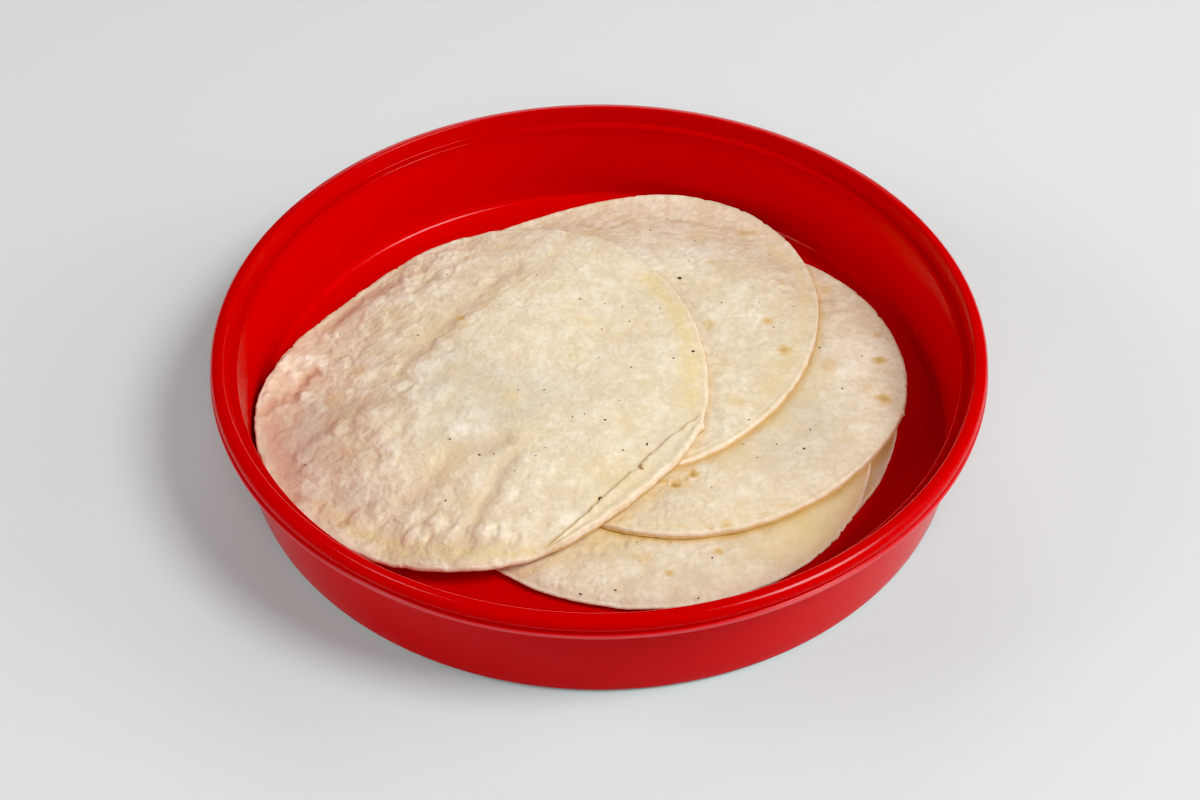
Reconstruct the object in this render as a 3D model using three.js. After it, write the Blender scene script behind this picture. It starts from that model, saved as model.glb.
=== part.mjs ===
// Corn tortillas fanned out in a shallow round plastic basket.
// Millimetres, +Z up, origin at the centre of the basket's underside, the fan opening towards +X.
import * as THREE from 'three';

// Basket: one moulding with a rounded rim, a seat for a lid just inside it and a flat floor on a low foot.
const rimRadius = 130;
const rimHeight = 41.8;
const beadRadius = 3;
const mouthRadius = 125.4;
const lipRadius = 130.3;
const lipHeight = 36.3;
const lipDrop = 0.3;
const riserRadius = 127;
const shelfThickness = 2.2;
const seatHeight = 35.5;
const seatOuterRadius = 124.5;
const seatInnerRadius = 121.5;
const wallThickness = 2.3;
const baseRadius = 122.8;
const baseRound = 1.6;
const footRadius = 117;
const footHeight = 0.5;
const floorThickness = 2.5;
const floorFillet = 2.5;
const basketSides = 88;
const arcSteps = 2;

// Tortillas: thin rounds, each lying on the ones below and drooping past their edges.
const thickness = 2;
const restGap = 0.4;
const layerGap = 0.5;
const climbStart = 96;
const climbReach = 22;
const climbHeight = 4;
const wallClearance = 0.9;

// Lowest first. Each outline is a circle with shallow lobes: [how many, their depth, a peak in degrees].
// The droop is how far past an edge below it a tortilla comes down; the top one is the stiffest.
// The swell is a low wave that lifts a tortilla and all that lie on it.
const tortillas = [
  {
    name: 'tortilla_1', x: 26, y: -3, radius: 78, lobes: [[2, 0.7, 28], [5, 0.4, 10]],
    droop: 28, swell: { height: 0.3, length: 75, heading: 20 }, sides: 56, rings: 5,
  },
  {
    name: 'tortilla_2', x: 15, y: -17.6, radius: 77.5, lobes: [[2, 0.5, -41], [3, 0.8, -29]],
    droop: 28, swell: { height: 0.3, length: 68, heading: 110 }, sides: 56, rings: 5,
  },
  {
    name: 'tortilla_3', x: 29.8, y: 10.2, radius: 77.6, lobes: [[2, 1.5, 31], [3, 0.9, 12], [5, 0.6, -15]],
    droop: 28, swell: { height: 0.4, length: 60, heading: 65 }, sides: 60, rings: 5,
  },
  {
    name: 'tortilla_4', x: 4.6, y: 35.6, radius: 77.8, lobes: [[2, 3.9, 50], [3, 2.3, 44], [4, 0.8, -25]],
    droop: 28, swell: { height: 0.5, length: 56, heading: -30 }, sides: 64, rings: 6,
  },
  {
    name: 'tortilla_5', x: -38.7, y: 0.3, radius: 80.2,
    lobes: [[2, 5.1, 65], [3, 1.7, -43], [4, 1.2, -5], [6, 0.7, -21]],
    droop: 60, swell: { height: 0.9, length: 52, heading: -38 }, sides: 84, rings: 8,
    // Long shallow valleys cross the top side by side: [distance from the axis, depth].
    valleys: {
      heading: -38, width: 6, runs: [[-84, 0.8], [-61, 1.0], [-41, 0.4], [-18, 0.9], [5, 0.4]],
    },
    // Part of its rim is turned over on to its own top.
    fold: { from: -72, to: -17, width: 8, height: 1.8, notchAt: -43, notchWidth: 4 },
  },
];
const plainBand = 2;
const foldStep = 0.4;
const foldTaper = { start: 0.75, gain: 0.35 };
const foldEase = 0.1;
const foldOuterShare = 0.8;
const notchSink = 0.5;

// Rings of points across a tortilla's underside, and how far its top's rings crowd towards the edge.
const undersideRings = 5;
const ringCrowding = 0.9;

const basketRed = new THREE.MeshStandardMaterial({ color: 0xc40810, roughness: 0.32, metalness: 0 });
const cornCream = () => new THREE.MeshStandardMaterial({ color: 0xe6d6b4, roughness: 0.85, metalness: 0 });

const radians = THREE.MathUtils.degToRad;
const ease = (value) => THREE.MathUtils.smoothstep(value, 0, 1);

// The basket's section, from the axis under the floor, out and up round the rim and back over the floor.
function basketSection() {
  const wallTop = seatHeight - shelfThickness;
  const innerBase = baseRadius - wallThickness;
  const section = new THREE.Path();
  section.moveTo(0, 0);
  section.lineTo(footRadius, 0);
  section.lineTo(footRadius + footHeight, footHeight);
  section.lineTo(baseRadius - baseRound, footHeight);
  section.absarc(baseRadius - baseRound, footHeight + baseRound, baseRound, -Math.PI / 2, 0, false);
  section.lineTo(seatInnerRadius + wallThickness, wallTop);
  section.lineTo(riserRadius, wallTop);
  section.lineTo(riserRadius, lipHeight + beadRadius / 2);
  section.lineTo(lipRadius - shelfThickness, lipHeight + beadRadius / 2);
  section.lineTo(lipRadius - shelfThickness, lipHeight - lipDrop);
  section.lineTo(lipRadius, lipHeight);
  section.absarc(rimRadius - beadRadius, rimHeight - beadRadius, beadRadius, 0, Math.PI / 2, false);
  section.lineTo(mouthRadius, rimHeight);
  section.lineTo(seatOuterRadius, seatHeight);
  section.lineTo(seatInnerRadius, seatHeight);
  section.lineTo(innerBase, floorThickness + floorFillet);
  const filletCentre = floorThickness + floorFillet;
  section.absarc(innerBase - floorFillet, filletCentre, floorFillet, 0, -Math.PI / 2, true);
  section.lineTo(0, floorThickness);
  return section.getPoints(arcSteps);
}

// Distance from a tortilla's centre to its edge, kept clear of the basket's wall.
function edgeRadius(tortilla, angle) {
  let radius = tortilla.radius;
  for (const [lobes, depth, peak] of tortilla.lobes) {
    radius += depth * Math.cos(lobes * (angle - radians(peak)));
  }
  const limit = baseRadius - wallThickness - wallClearance;
  const along = tortilla.x * Math.cos(angle) + tortilla.y * Math.sin(angle);
  const centre = Math.hypot(tortilla.x, tortilla.y);
  const toWall = -along + Math.sqrt(along * along - centre * centre + limit * limit);
  return Math.min(radius, toWall);
}

// 1 over a tortilla, easing to 0 where what lies on it has drooped past its edge.
function support(tortilla, droop, x, y) {
  const dx = x - tortilla.x;
  const dy = y - tortilla.y;
  const beyond = Math.hypot(dx, dy) - edgeRadius(tortilla, Math.atan2(dy, dx));
  return 1 - ease(beyond / droop);
}

function swellHeight({ height, length, heading }, x, y) {
  const across = x * Math.cos(radians(heading)) + y * Math.sin(radians(heading));
  return (height / 2) * (1 + Math.sin((2 * Math.PI * across) / length));
}

// Height of a tortilla's underside: the floor, the rounds below, every swell so far, the climb up the wall.
function undersideHeight(index, x, y) {
  const nearWall = Math.max(0, (Math.hypot(x, y) - climbStart) / climbReach);
  let height = floorThickness + restGap + climbHeight * nearWall * nearWall;
  for (let below = 0; below <= index; below += 1) {
    height += swellHeight(tortillas[below].swell, x, y);
    if (below < index) {
      height += (thickness + layerGap) * support(tortillas[below], tortillas[index].droop, x, y);
    }
  }
  return height;
}

// Depth of the valleys pressed into a tortilla's top.
function valleyDepth(valleys, x, y) {
  if (!valleys) {
    return 0;
  }
  const across = x * Math.cos(radians(valleys.heading)) + y * Math.sin(radians(valleys.heading));
  let depth = 0;
  for (const [place, deep] of valleys.runs) {
    depth += deep * Math.exp(-(((across - place) / valleys.width) ** 2));
  }
  return depth;
}

// Width and height of the turned-over rim at an angle, with a notch torn in its edge.
function foldAt(fold, angle) {
  const degrees = THREE.MathUtils.radToDeg(Math.atan2(Math.sin(angle), Math.cos(angle)));
  const share = fold ? (degrees - fold.from) / (fold.to - fold.from) : -1;
  if (share <= 0 || share >= 1) {
    return { width: plainBand, height: 0 };
  }
  const lens = Math.sqrt(Math.sin(Math.PI * share)) * (foldTaper.start + foldTaper.gain * share);
  const notch = Math.exp(-(((degrees - fold.notchAt) / fold.notchWidth) ** 2));
  const rise = ease(Math.min(share, 1 - share) / foldEase);
  return {
    width: Math.max(plainBand, fold.width * lens - notch),
    height: fold.height * rise * (1 - notchSink * notch),
  };
}

// A closed thin round. Its rings run from the middle of the top out over the edge and back under it.
function tortillaGeometry(tortilla, index) {
  const edgeInset = thickness / 2;
  const positions = [];
  const faces = [];

  const pushPoint = (angle, radius, lift) => {
    const x = tortilla.x + radius * Math.cos(angle);
    const y = tortilla.y + radius * Math.sin(angle);
    positions.push(x, y, undersideHeight(index, x, y) + lift(x, y));
  };
  const topLift = (extra) => (x, y) => thickness + extra - valleyDepth(tortilla.valleys, x, y);
  const underLift = () => 0;

  const rings = [];
  const foot = (angle) => edgeRadius(tortilla, angle) - edgeInset - foldAt(tortilla.fold, angle).width;
  for (let ring = 1; ring <= tortilla.rings; ring += 1) {
    const share = Math.sin(((Math.PI / 2) * ring) / (tortilla.rings + 1)) ** ringCrowding;
    rings.push((angle) => [share * foot(angle), topLift(0)]);
  }
  if (tortilla.fold) {
    rings.push((angle) => [foot(angle), topLift(0)]);
    rings.push((angle) => [foot(angle) + foldStep, topLift(foldAt(tortilla.fold, angle).height)]);
  }
  rings.push((angle) => {
    const raised = foldOuterShare * foldAt(tortilla.fold, angle).height;
    return [edgeRadius(tortilla, angle) - edgeInset, topLift(raised)];
  });
  rings.push((angle) => [edgeRadius(tortilla, angle), () => thickness / 2]);
  for (let ring = 0; ring < undersideRings; ring += 1) {
    const share = 1 - ring / undersideRings;
    rings.push((angle) => [share * (edgeRadius(tortilla, angle) - edgeInset), underLift]);
  }

  pushPoint(0, 0, topLift(0));
  for (const ring of rings) {
    for (let side = 0; side < tortilla.sides; side += 1) {
      const angle = (2 * Math.PI * side) / tortilla.sides;
      pushPoint(angle, ...ring(angle));
    }
  }
  pushPoint(0, 0, underLift);

  const last = rings.length * tortilla.sides + 1;
  for (let side = 0; side < tortilla.sides; side += 1) {
    const next = (side + 1) % tortilla.sides;
    faces.push(0, 1 + side, 1 + next);
    for (let ring = 0; ring < rings.length - 1; ring += 1) {
      const inner = 1 + ring * tortilla.sides;
      const outer = inner + tortilla.sides;
      faces.push(inner + side, outer + side, outer + next);
      faces.push(inner + side, outer + next, inner + next);
    }
    faces.push(last, last - tortilla.sides + next, last - tortilla.sides + side);
  }

  const geometry = new THREE.BufferGeometry();
  geometry.setAttribute('position', new THREE.Float32BufferAttribute(positions, 3));
  geometry.setIndex(faces);
  geometry.computeVertexNormals();
  return geometry;
}

const stack = new THREE.Group();

const basket = new THREE.Mesh(new THREE.LatheGeometry(basketSection(), basketSides), basketRed);
basket.name = 'basket';
basket.rotation.x = Math.PI / 2;
stack.add(basket);

tortillas.forEach((tortilla, index) => {
  const round = new THREE.Mesh(tortillaGeometry(tortilla, index), cornCream());
  round.name = tortilla.name;
  stack.add(round);
});

export default stack;
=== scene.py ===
import math

import bpy
import numpy as np
from mathutils import Matrix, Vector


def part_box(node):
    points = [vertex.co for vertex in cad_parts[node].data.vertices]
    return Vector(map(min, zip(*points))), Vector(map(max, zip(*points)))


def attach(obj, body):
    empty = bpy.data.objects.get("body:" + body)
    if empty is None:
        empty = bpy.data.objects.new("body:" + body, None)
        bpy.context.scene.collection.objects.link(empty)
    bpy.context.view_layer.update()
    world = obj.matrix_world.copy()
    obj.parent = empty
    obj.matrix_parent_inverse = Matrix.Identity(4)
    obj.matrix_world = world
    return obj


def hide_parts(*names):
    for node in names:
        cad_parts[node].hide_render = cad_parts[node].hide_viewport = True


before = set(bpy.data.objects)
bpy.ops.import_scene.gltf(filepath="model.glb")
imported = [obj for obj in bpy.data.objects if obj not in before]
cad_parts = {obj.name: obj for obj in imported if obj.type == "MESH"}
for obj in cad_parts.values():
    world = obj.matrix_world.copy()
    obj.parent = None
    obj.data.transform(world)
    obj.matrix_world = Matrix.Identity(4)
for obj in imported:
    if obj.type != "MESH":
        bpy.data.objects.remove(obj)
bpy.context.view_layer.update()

metresPerMm = 0.001  # shapes are worked out in millimetres and made in metres
print("stage: frame loaded, nodes", sorted(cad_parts))


cameraView = {
    "focalPx": 1700.0,
    "imageWidthPx": 1200.0,
    "sensorWidth": 36.0,
    "distance": 602.1,      # from the centre of the basket's underside, mm
    "elevationDeg": 44.014,
    "rollDeg": -0.161,
    "aside": (0.27, 3.19),  # right and up in the picture's plane, mm
}


# A camera looking along +Y and down: its axes are the level ones turned by the elevation, then by the roll.
def addCamera(view):
    elevation = math.radians(view["elevationDeg"])
    roll = math.radians(view["rollDeg"])
    look = np.array([0.0, math.cos(elevation), -math.sin(elevation)])
    level = np.array([1.0, 0.0, 0.0])
    upright = np.array([0.0, math.sin(elevation), math.cos(elevation)])
    right = math.cos(roll) * level + math.sin(roll) * upright
    top = math.cos(roll) * upright - math.sin(roll) * level
    place = -view["distance"] * look + view["aside"][0] * right + view["aside"][1] * top
    matrix = np.eye(4)
    matrix[:3, 0], matrix[:3, 1], matrix[:3, 2] = right, top, -look
    matrix[:3, 3] = place * metresPerMm
    data = bpy.data.cameras.new("camera")
    data.sensor_width = view["sensorWidth"]
    data.lens = view["focalPx"] / view["imageWidthPx"] * view["sensorWidth"]
    data.clip_start = 0.01
    camera = bpy.data.objects.new("camera", data)
    camera.matrix_world = Matrix(matrix.tolist())
    bpy.context.scene.collection.objects.link(camera)
    bpy.context.scene.camera = camera


addCamera(cameraView)
print("stage: camera")


# Smoothstep: 0 below 0, 1 above 1 and 3v^2 - 2v^3 between.
def ease(value):
    value = np.clip(value, 0.0, 1.0)
    return value * value * (3.0 - 2.0 * value)


# A share carried to the range from a least value up to 1.
def atLeast(least, share):
    return least + (1.0 - least) * share


# A bell curve: e to the power of minus the square of distance over width.
def bell(distance, width):
    return np.exp(-(distance / width) ** 2)


latticeHash = {"column": 374761393, "row": 668265263, "seed": 982451653, "stir": 1274126177}


# A repeatable random number from 0 to 1 for each whole-number lattice point and seed: a hash of 32 bits.
def latticeRandom(column, row, seed):
    mixed = column.astype(np.int64) * latticeHash["column"] + row.astype(np.int64) * latticeHash["row"]
    mixed = (mixed + seed * latticeHash["seed"]) & 0xFFFFFFFF
    mixed = ((mixed ^ (mixed >> 13)) * latticeHash["stir"]) & 0xFFFFFFFF
    return ((mixed ^ (mixed >> 16)) & 0xFFFFFF) / float(0xFFFFFF)


# Gradient noise, about -1 to 1: each lattice corner has a random slope, and a quintic blends the slopes
# between corners.
def gradientNoise(x, y, size, seed):
    u, v = x / size, y / size
    column, row = np.floor(u), np.floor(v)
    u, v = u - column, v - row
    blendU = u ** 3 * (u * (6.0 * u - 15.0) + 10.0)
    blendV = v ** 3 * (v * (6.0 * v - 15.0) + 10.0)
    corners = []
    for stepV in (0, 1):
        for stepU in (0, 1):
            turn = 2.0 * math.pi * latticeRandom(column + stepU, row + stepV, seed)
            corners.append(np.cos(turn) * (u - stepU) + np.sin(turn) * (v - stepV))
    near = corners[0] + (corners[1] - corners[0]) * blendU
    far = corners[2] + (corners[3] - corners[2]) * blendU
    return 1.5 * (near + (far - near) * blendV)


# Several octaves of gradient noise, each half the size and strength of the last.
def fractalNoise(x, y, size, octaves, seed):
    total, strength = 0.0, 1.0
    for octave in range(octaves):
        total = total + strength * gradientNoise(x, y, size / 2 ** octave, seed + 17 * octave)
        strength *= 0.5
    return total


# The margin keeps a dome's centre inside its cell, and the roundness is the power in its formula.
dome = {"margin": 0.15, "leastSize": 0.60, "leastHeight": 0.35, "roundness": 1.9}


# Rounded blisters, 0 to 1: one dome (1 - (d/r)^2)^roundness in each lattice cell, its place and size random.
def domes(x, y, cell, seed):
    u, v = x / cell, y / cell
    column, row = np.floor(u), np.floor(v)
    highest = np.zeros_like(u)
    room = 1.0 - 2.0 * dome["margin"]
    for stepV in (-1, 0, 1):
        for stepU in (-1, 0, 1):
            atColumn, atRow = column + stepU, row + stepV
            centreU = atColumn + dome["margin"] + room * latticeRandom(atColumn, atRow, seed)
            centreV = atRow + dome["margin"] + room * latticeRandom(atColumn, atRow, seed + 1)
            size = atLeast(dome["leastSize"], latticeRandom(atColumn, atRow, seed + 2))
            height = atLeast(dome["leastHeight"], latticeRandom(atColumn, atRow, seed + 3))
            apart = ((u - centreU) ** 2 + (v - centreV) ** 2) / size ** 2
            highest = np.maximum(highest, height * np.clip(1.0 - apart, 0.0, 1.0) ** dome["roundness"])
    return highest


# Coordinates turned so that the first runs along a heading in degrees and the second across it.
def turned(x, y, heading):
    angle = math.radians(heading)
    return x * math.cos(angle) + y * math.sin(angle), y * math.cos(angle) - x * math.sin(angle)


# A mesh object from points in mm and faces, its place in the mesh, and a float per point for each attribute.
def makeMesh(name, points, faces, attributes=None):
    mesh = bpy.data.meshes.new(name)
    points = np.asarray(points, dtype=np.float64) * metresPerMm
    corners = np.concatenate([np.asarray(part, dtype=np.int32).ravel() for part in faces])
    counts = np.concatenate([np.full(len(part), part.shape[1], dtype=np.int32) for part in faces])
    starts = np.concatenate([[0], np.cumsum(counts)[:-1]]).astype(np.int32)
    mesh.vertices.add(len(points))
    mesh.vertices.foreach_set("co", points.astype(np.float32).ravel())
    mesh.loops.add(len(corners))
    mesh.loops.foreach_set("vertex_index", corners)
    mesh.polygons.add(len(counts))
    mesh.polygons.foreach_set("loop_start", starts)
    mesh.polygons.foreach_set("use_smooth", np.ones(len(counts), dtype=bool))
    mesh.update(calc_edges=True)
    for key, values in (attributes or {}).items():
        layer = mesh.attributes.new(key, "FLOAT", "POINT")
        layer.data.foreach_set("value", values.astype(np.float32))
    mesh.validate()
    made = bpy.data.objects.new(name, mesh)
    bpy.context.scene.collection.objects.link(made)
    return made


# Adds a node, sets its settings, and links or sets each input by name or number.
def addNode(tree, kind, inputs=None, **settings):
    made = tree.nodes.new(kind)
    for key, value in settings.items():
        setattr(made, key, value)
    for key, value in (inputs or {}).items():
        if isinstance(value, bpy.types.NodeSocket):
            tree.links.new(value, made.inputs[key])
        else:
            made.inputs[key].default_value = value
    return made


# A material with an empty node tree.
def newMaterial(name):
    material = bpy.data.materials.new(name)
    material.use_nodes = True
    material.node_tree.nodes.clear()
    return material, material.node_tree


# Links the finished shader to the material's output.
def finishMaterial(tree, shader):
    output = addNode(tree, "ShaderNodeOutputMaterial")
    tree.links.new(shader.outputs[0], output.inputs["Surface"])


# A noise texture on given coordinates, as a value from 0 to 1.
def noiseNode(tree, coordinates, scale, detail):
    made = addNode(tree, "ShaderNodeTexNoise", {"Vector": coordinates, "Scale": scale, "Detail": detail})
    return made.outputs["Fac"]


# One of a mesh's own float attributes.
def fieldNode(tree, name):
    return addNode(tree, "ShaderNodeAttribute", attribute_name=name).outputs["Fac"]


# One colour laid over another by a factor: under + factor * (over - under).
def layColour(tree, factor, under, over):
    mixed = addNode(tree, "ShaderNodeMix", {0: factor, 6: under, 7: over}, data_type="RGBA")
    return mixed.outputs[2]


# One step of arithmetic on two values.
def mathNode(tree, operation, first, second=0.0):
    return addNode(tree, "ShaderNodeMath", {0: first, 1: second}, operation=operation).outputs[0]


# A value carried from one range to another in proportion, and kept inside it.
def rangeNode(tree, value, low, high, toLow=0.0, toHigh=1.0):
    made = addNode(tree, "ShaderNodeMapRange",
                   {"Value": value, "From Min": low, "From Max": high, "To Min": toLow, "To Max": toHigh})
    return made.outputs[0]


basketHigh = np.array(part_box("basket")[1]) / metresPerMm
basketShape = {
    "lipRadius": basketHigh[0],
    "lipHeight": 36.3,
    "lipDrop": 0.8,         # from the lip's crest line down to its lower edge
    "lipFace": 0.8,         # height of the narrow upright face round the lip
    "rimRadius": basketHigh[0] - 0.3,
    "rimHeight": basketHigh[2],
    "beadRadius": 3.3,
    "beadInset": 0.2,       # from the rim's radius in to the bead's outer face
    "beadRound": 2.9,       # rounding of the bead's outer shoulder
    "beadBelly": 2.0,       # rounding under its face, where it leans in to the groove
    "grooveDepth": 0.6,     # how far the bead leans in above the lip
    "grooveRise": 0.4,      # from the lip's upright face up to the groove
    "grooveRound": 0.3,
    "mouthRadius": 125.4,
    "riserRadius": 127.0,
    "shelfThickness": 2.2,
    "seatHeight": 35.5,
    "seatOuterRadius": 124.5,
    "seatInnerRadius": 121.5,
    "wallThickness": 2.3,
    "baseRadius": 122.8,
    "baseRound": 1.6,
    "footRadius": 117.0,
    "footHeight": 0.5,
    "floorThickness": 2.5,
    "floorFillet": 2.5,
    "edgeRound": 0.35,      # softening of the moulding's small corners
    "mouthRound": 0.6,
    "lipHighlightWidth": 0.5,       # half width of the painted highlight along the lip
    "rimShadeFrom": -2.0,      # height over the lip's lower edge from which painted shade deepens the red
    "rimShadeOver": 1.5,       # height over which it reaches its full depth
    "wallShadeShare": 0.5,       # share of that depth on the outside of the wall
    "sides": 384,
    "arcSteps": 7,
    "longestStep": 6.0,
}


# A section with rounded corners: each becomes an arc tangent to both of its sides, and long sides get steps.
def roundedSection(corners, arcSteps, longestStep):
    places = np.array([corner[:2] for corner in corners])
    section = [places[:1]]
    for before, (place, after, (_, _, rounding)) in zip(
        places[:-2], zip(places[1:-1], places[2:], corners[1:-1])
    ):
        back = (before - place) / np.linalg.norm(before - place)
        on = (after - place) / np.linalg.norm(after - place)
        half = 0.5 * math.acos(float(np.clip(back @ on, -1.0, 1.0)))
        reach = rounding / math.tan(half)
        centre = place + (back + on) / np.linalg.norm(back + on) * rounding / math.sin(half)
        start, end = place + back * reach - centre, place + on * reach - centre
        sweep = math.atan2(start[0] * end[1] - start[1] * end[0], start @ end)
        angles = np.linspace(0.0, sweep, arcSteps)[:, None]
        across = np.array([-start[1], start[0]])
        section.append(centre + np.cos(angles) * start + np.sin(angles) * across)
    section.append(places[-1:])
    rough = np.concatenate(section)
    fine = [rough[:1]]
    for first, second in zip(rough[:-1], rough[1:]):
        steps = max(1, int(np.ceil(np.linalg.norm(second - first) / longestStep)))
        shares = np.linspace(0.0, 1.0, steps + 1)[1:, None]
        fine.append(first + (second - first) * shares)
    return np.concatenate(fine)


# The section turned about the Z axis: each point off the axis becomes a ring, and fans close the poles.
# An attribute is given as one value for each point of the section.
def latheMesh(name, section, sides, attributes):
    turns = 2.0 * np.pi * np.arange(sides) / sides
    rings = section[1:-1]
    x = rings[:, 0, None] * np.cos(turns)
    y = rings[:, 0, None] * np.sin(turns)
    z = np.repeat(rings[:, 1, None], sides, axis=1)
    points = np.stack([x, y, z], axis=-1).reshape(-1, 3)
    points = np.concatenate([points, [[0, 0, section[0, 1]], [0, 0, section[-1, 1]]]])
    ring = np.arange(len(rings) - 1)[:, None] * sides
    side = np.arange(sides)[None, :]
    following = (side + 1) % sides
    quads = np.stack([ring + side, ring + following, ring + sides + following, ring + sides + side], axis=-1)
    last = (len(rings) - 1) * sides
    under, over = len(points) - 2, len(points) - 1
    side, following = side[0], following[0]
    bottomFan = np.stack([np.full(sides, under), following, side], axis=-1)
    topFan = np.stack([np.full(sides, over), last + side, last + following], axis=-1)
    spread = {
        key: np.concatenate([np.repeat(values[1:-1], sides), values[[0, -1]]])
        for key, values in attributes.items()
    }
    return makeMesh(name, points, [quads.reshape(-1, 4), bottomFan, topFan], spread)


# The basket: its section's corners, each as (radius, height, rounding), run from the axis under the floor
# out, up round the rim and back over the floor, and the rounded section is turned about the axis.
def addBasket(shape):
    wallTop = shape["seatHeight"] - shape["shelfThickness"]
    lipInner = shape["lipRadius"] - shape["shelfThickness"]
    lipLow = shape["lipHeight"] - shape["lipDrop"]
    channelTop = shape["lipHeight"] + shape["beadRadius"] / 2
    lipTop = lipLow + shape["lipFace"]
    small = shape["edgeRound"]
    beadFace = shape["rimRadius"] - shape["beadInset"]
    corners = [
        (0.0, 0.0, 0.0),
        (shape["footRadius"], 0.0, 0.5 * small),
        (shape["footRadius"] + shape["footHeight"], shape["footHeight"], 0.5 * small),
        (shape["baseRadius"], shape["footHeight"], shape["baseRound"]),
        (shape["seatInnerRadius"] + shape["wallThickness"], wallTop, small),
        (shape["riserRadius"], wallTop, small),
        (shape["riserRadius"], channelTop, small),
        (lipInner, channelTop, small),
        (lipInner, lipLow, small),
        (shape["lipRadius"], lipLow, 0.5 * small),
        (shape["lipRadius"], lipTop, 0.5 * small),
        (beadFace - shape["grooveDepth"], lipTop + shape["grooveRise"], shape["grooveRound"]),
        (beadFace, shape["rimHeight"] - shape["beadRadius"], shape["beadBelly"]),
        (beadFace, shape["rimHeight"], shape["beadRound"]),
        (shape["mouthRadius"], shape["rimHeight"], shape["mouthRound"]),
        (shape["seatOuterRadius"], shape["seatHeight"], small),
        (shape["seatInnerRadius"], shape["seatHeight"], small),
        (shape["baseRadius"] - shape["wallThickness"], shape["floorThickness"], shape["floorFillet"]),
        (0.0, shape["floorThickness"], 0.0),
    ]
    section = roundedSection(corners, shape["arcSteps"], shape["longestStep"])
    radius, height = section[:, 0], section[:, 1]
    # A painted highlight: a paler pinkish line along the lip.
    onLip = radius > shape["lipRadius"] - 0.5 * shape["lipFace"]
    lipHighlight = onLip * bell(height - lipLow - 0.5 * shape["lipFace"], shape["lipHighlightWidth"])
    # Painted shade: the red deepens on the rim, and by a share on the outside of the wall.
    onRim = ease((height - lipLow - shape["rimShadeFrom"]) / shape["rimShadeOver"])
    onRim = onRim * (radius > shape["seatInnerRadius"] - small)
    onWall = shape["wallShadeShare"] * (radius > shape["baseRadius"] - 0.5 * shape["wallThickness"])
    rimShade = np.maximum(onRim, onWall)
    return latheMesh("basket_shell", section, shape["sides"], {"edge": lipHighlight, "rimShade": rimShade})


basketFinish = {
    "red": (0.60, 0.0, 0.0015, 1.0),
    "deepRed": (0.575, 0.0, 0.0010, 1.0),
    "rimShadeRed": (0.49, 0.0, 0.0010, 1.0),
    "lipHighlightColour": (0.62, 0.09, 0.105, 1.0),
    "roughness": (0.18, 0.24),
    "specular": 0.11,
    "ripple": 0.03, "rippleStrength": 0.35,   # moulding ripple, mm
    # (scale for each metre, detail) of the drift of colour, of the ripple and of the fine change in gloss
    "drift": (14.0, 2.0), "rippleNoise": (60.0, 2.0), "fine": (900.0, 3.0),
}


# Glossy moulded red plastic: a soft drift of colour and gloss and a faint ripple. Painted shade makes its
# red deeper on the rim and the outside of the wall, and a painted highlight makes it paler along the lip.
def basketMaterial(finish):
    material, tree = newMaterial("red_plastic")
    coordinates = addNode(tree, "ShaderNodeTexCoord").outputs["Object"]
    drift = noiseNode(tree, coordinates, *finish["drift"])
    fine = noiseNode(tree, coordinates, *finish["fine"])
    ripple = noiseNode(tree, coordinates, *finish["rippleNoise"])
    colour = layColour(tree, drift, finish["red"], finish["deepRed"])
    # Painted shade on the rim and the outer wall.
    colour = layColour(tree, fieldNode(tree, "rimShade"), colour, finish["rimShadeRed"])
    # Painted highlight along the lip.
    colour = layColour(tree, fieldNode(tree, "edge"), colour, finish["lipHighlightColour"])
    roughness = rangeNode(tree, fine, 0.35, 0.65, *finish["roughness"])
    bump = addNode(tree, "ShaderNodeBump", {
        "Strength": finish["rippleStrength"], "Distance": finish["ripple"] * metresPerMm, "Height": ripple})
    shader = addNode(tree, "ShaderNodeBsdfPrincipled", {
        "Base Color": colour, "Roughness": roughness, "Specular IOR Level": finish["specular"],
        "Normal": bump.outputs["Normal"]})
    finishMaterial(tree, shader)
    return material


basket = addBasket(basketShape)
basket.data.materials.append(basketMaterial(basketFinish))
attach(basket, "root")
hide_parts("basket")
print("stage: basket", len(basket.data.polygons), "faces")


pile = {
    "thickness": 2.0,
    "restGap": 0.4,         # over the basket's floor
    "layerGap": 0.5,        # between one round and the next
    "climbStart": 96.0,     # radius from which a round turns up towards the basket's wall
    "climbReach": 22.0,     # distance in which it has climbed its full height
    "climbHeight": 4.0,
    "wallClearance": 0.45,
}
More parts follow.
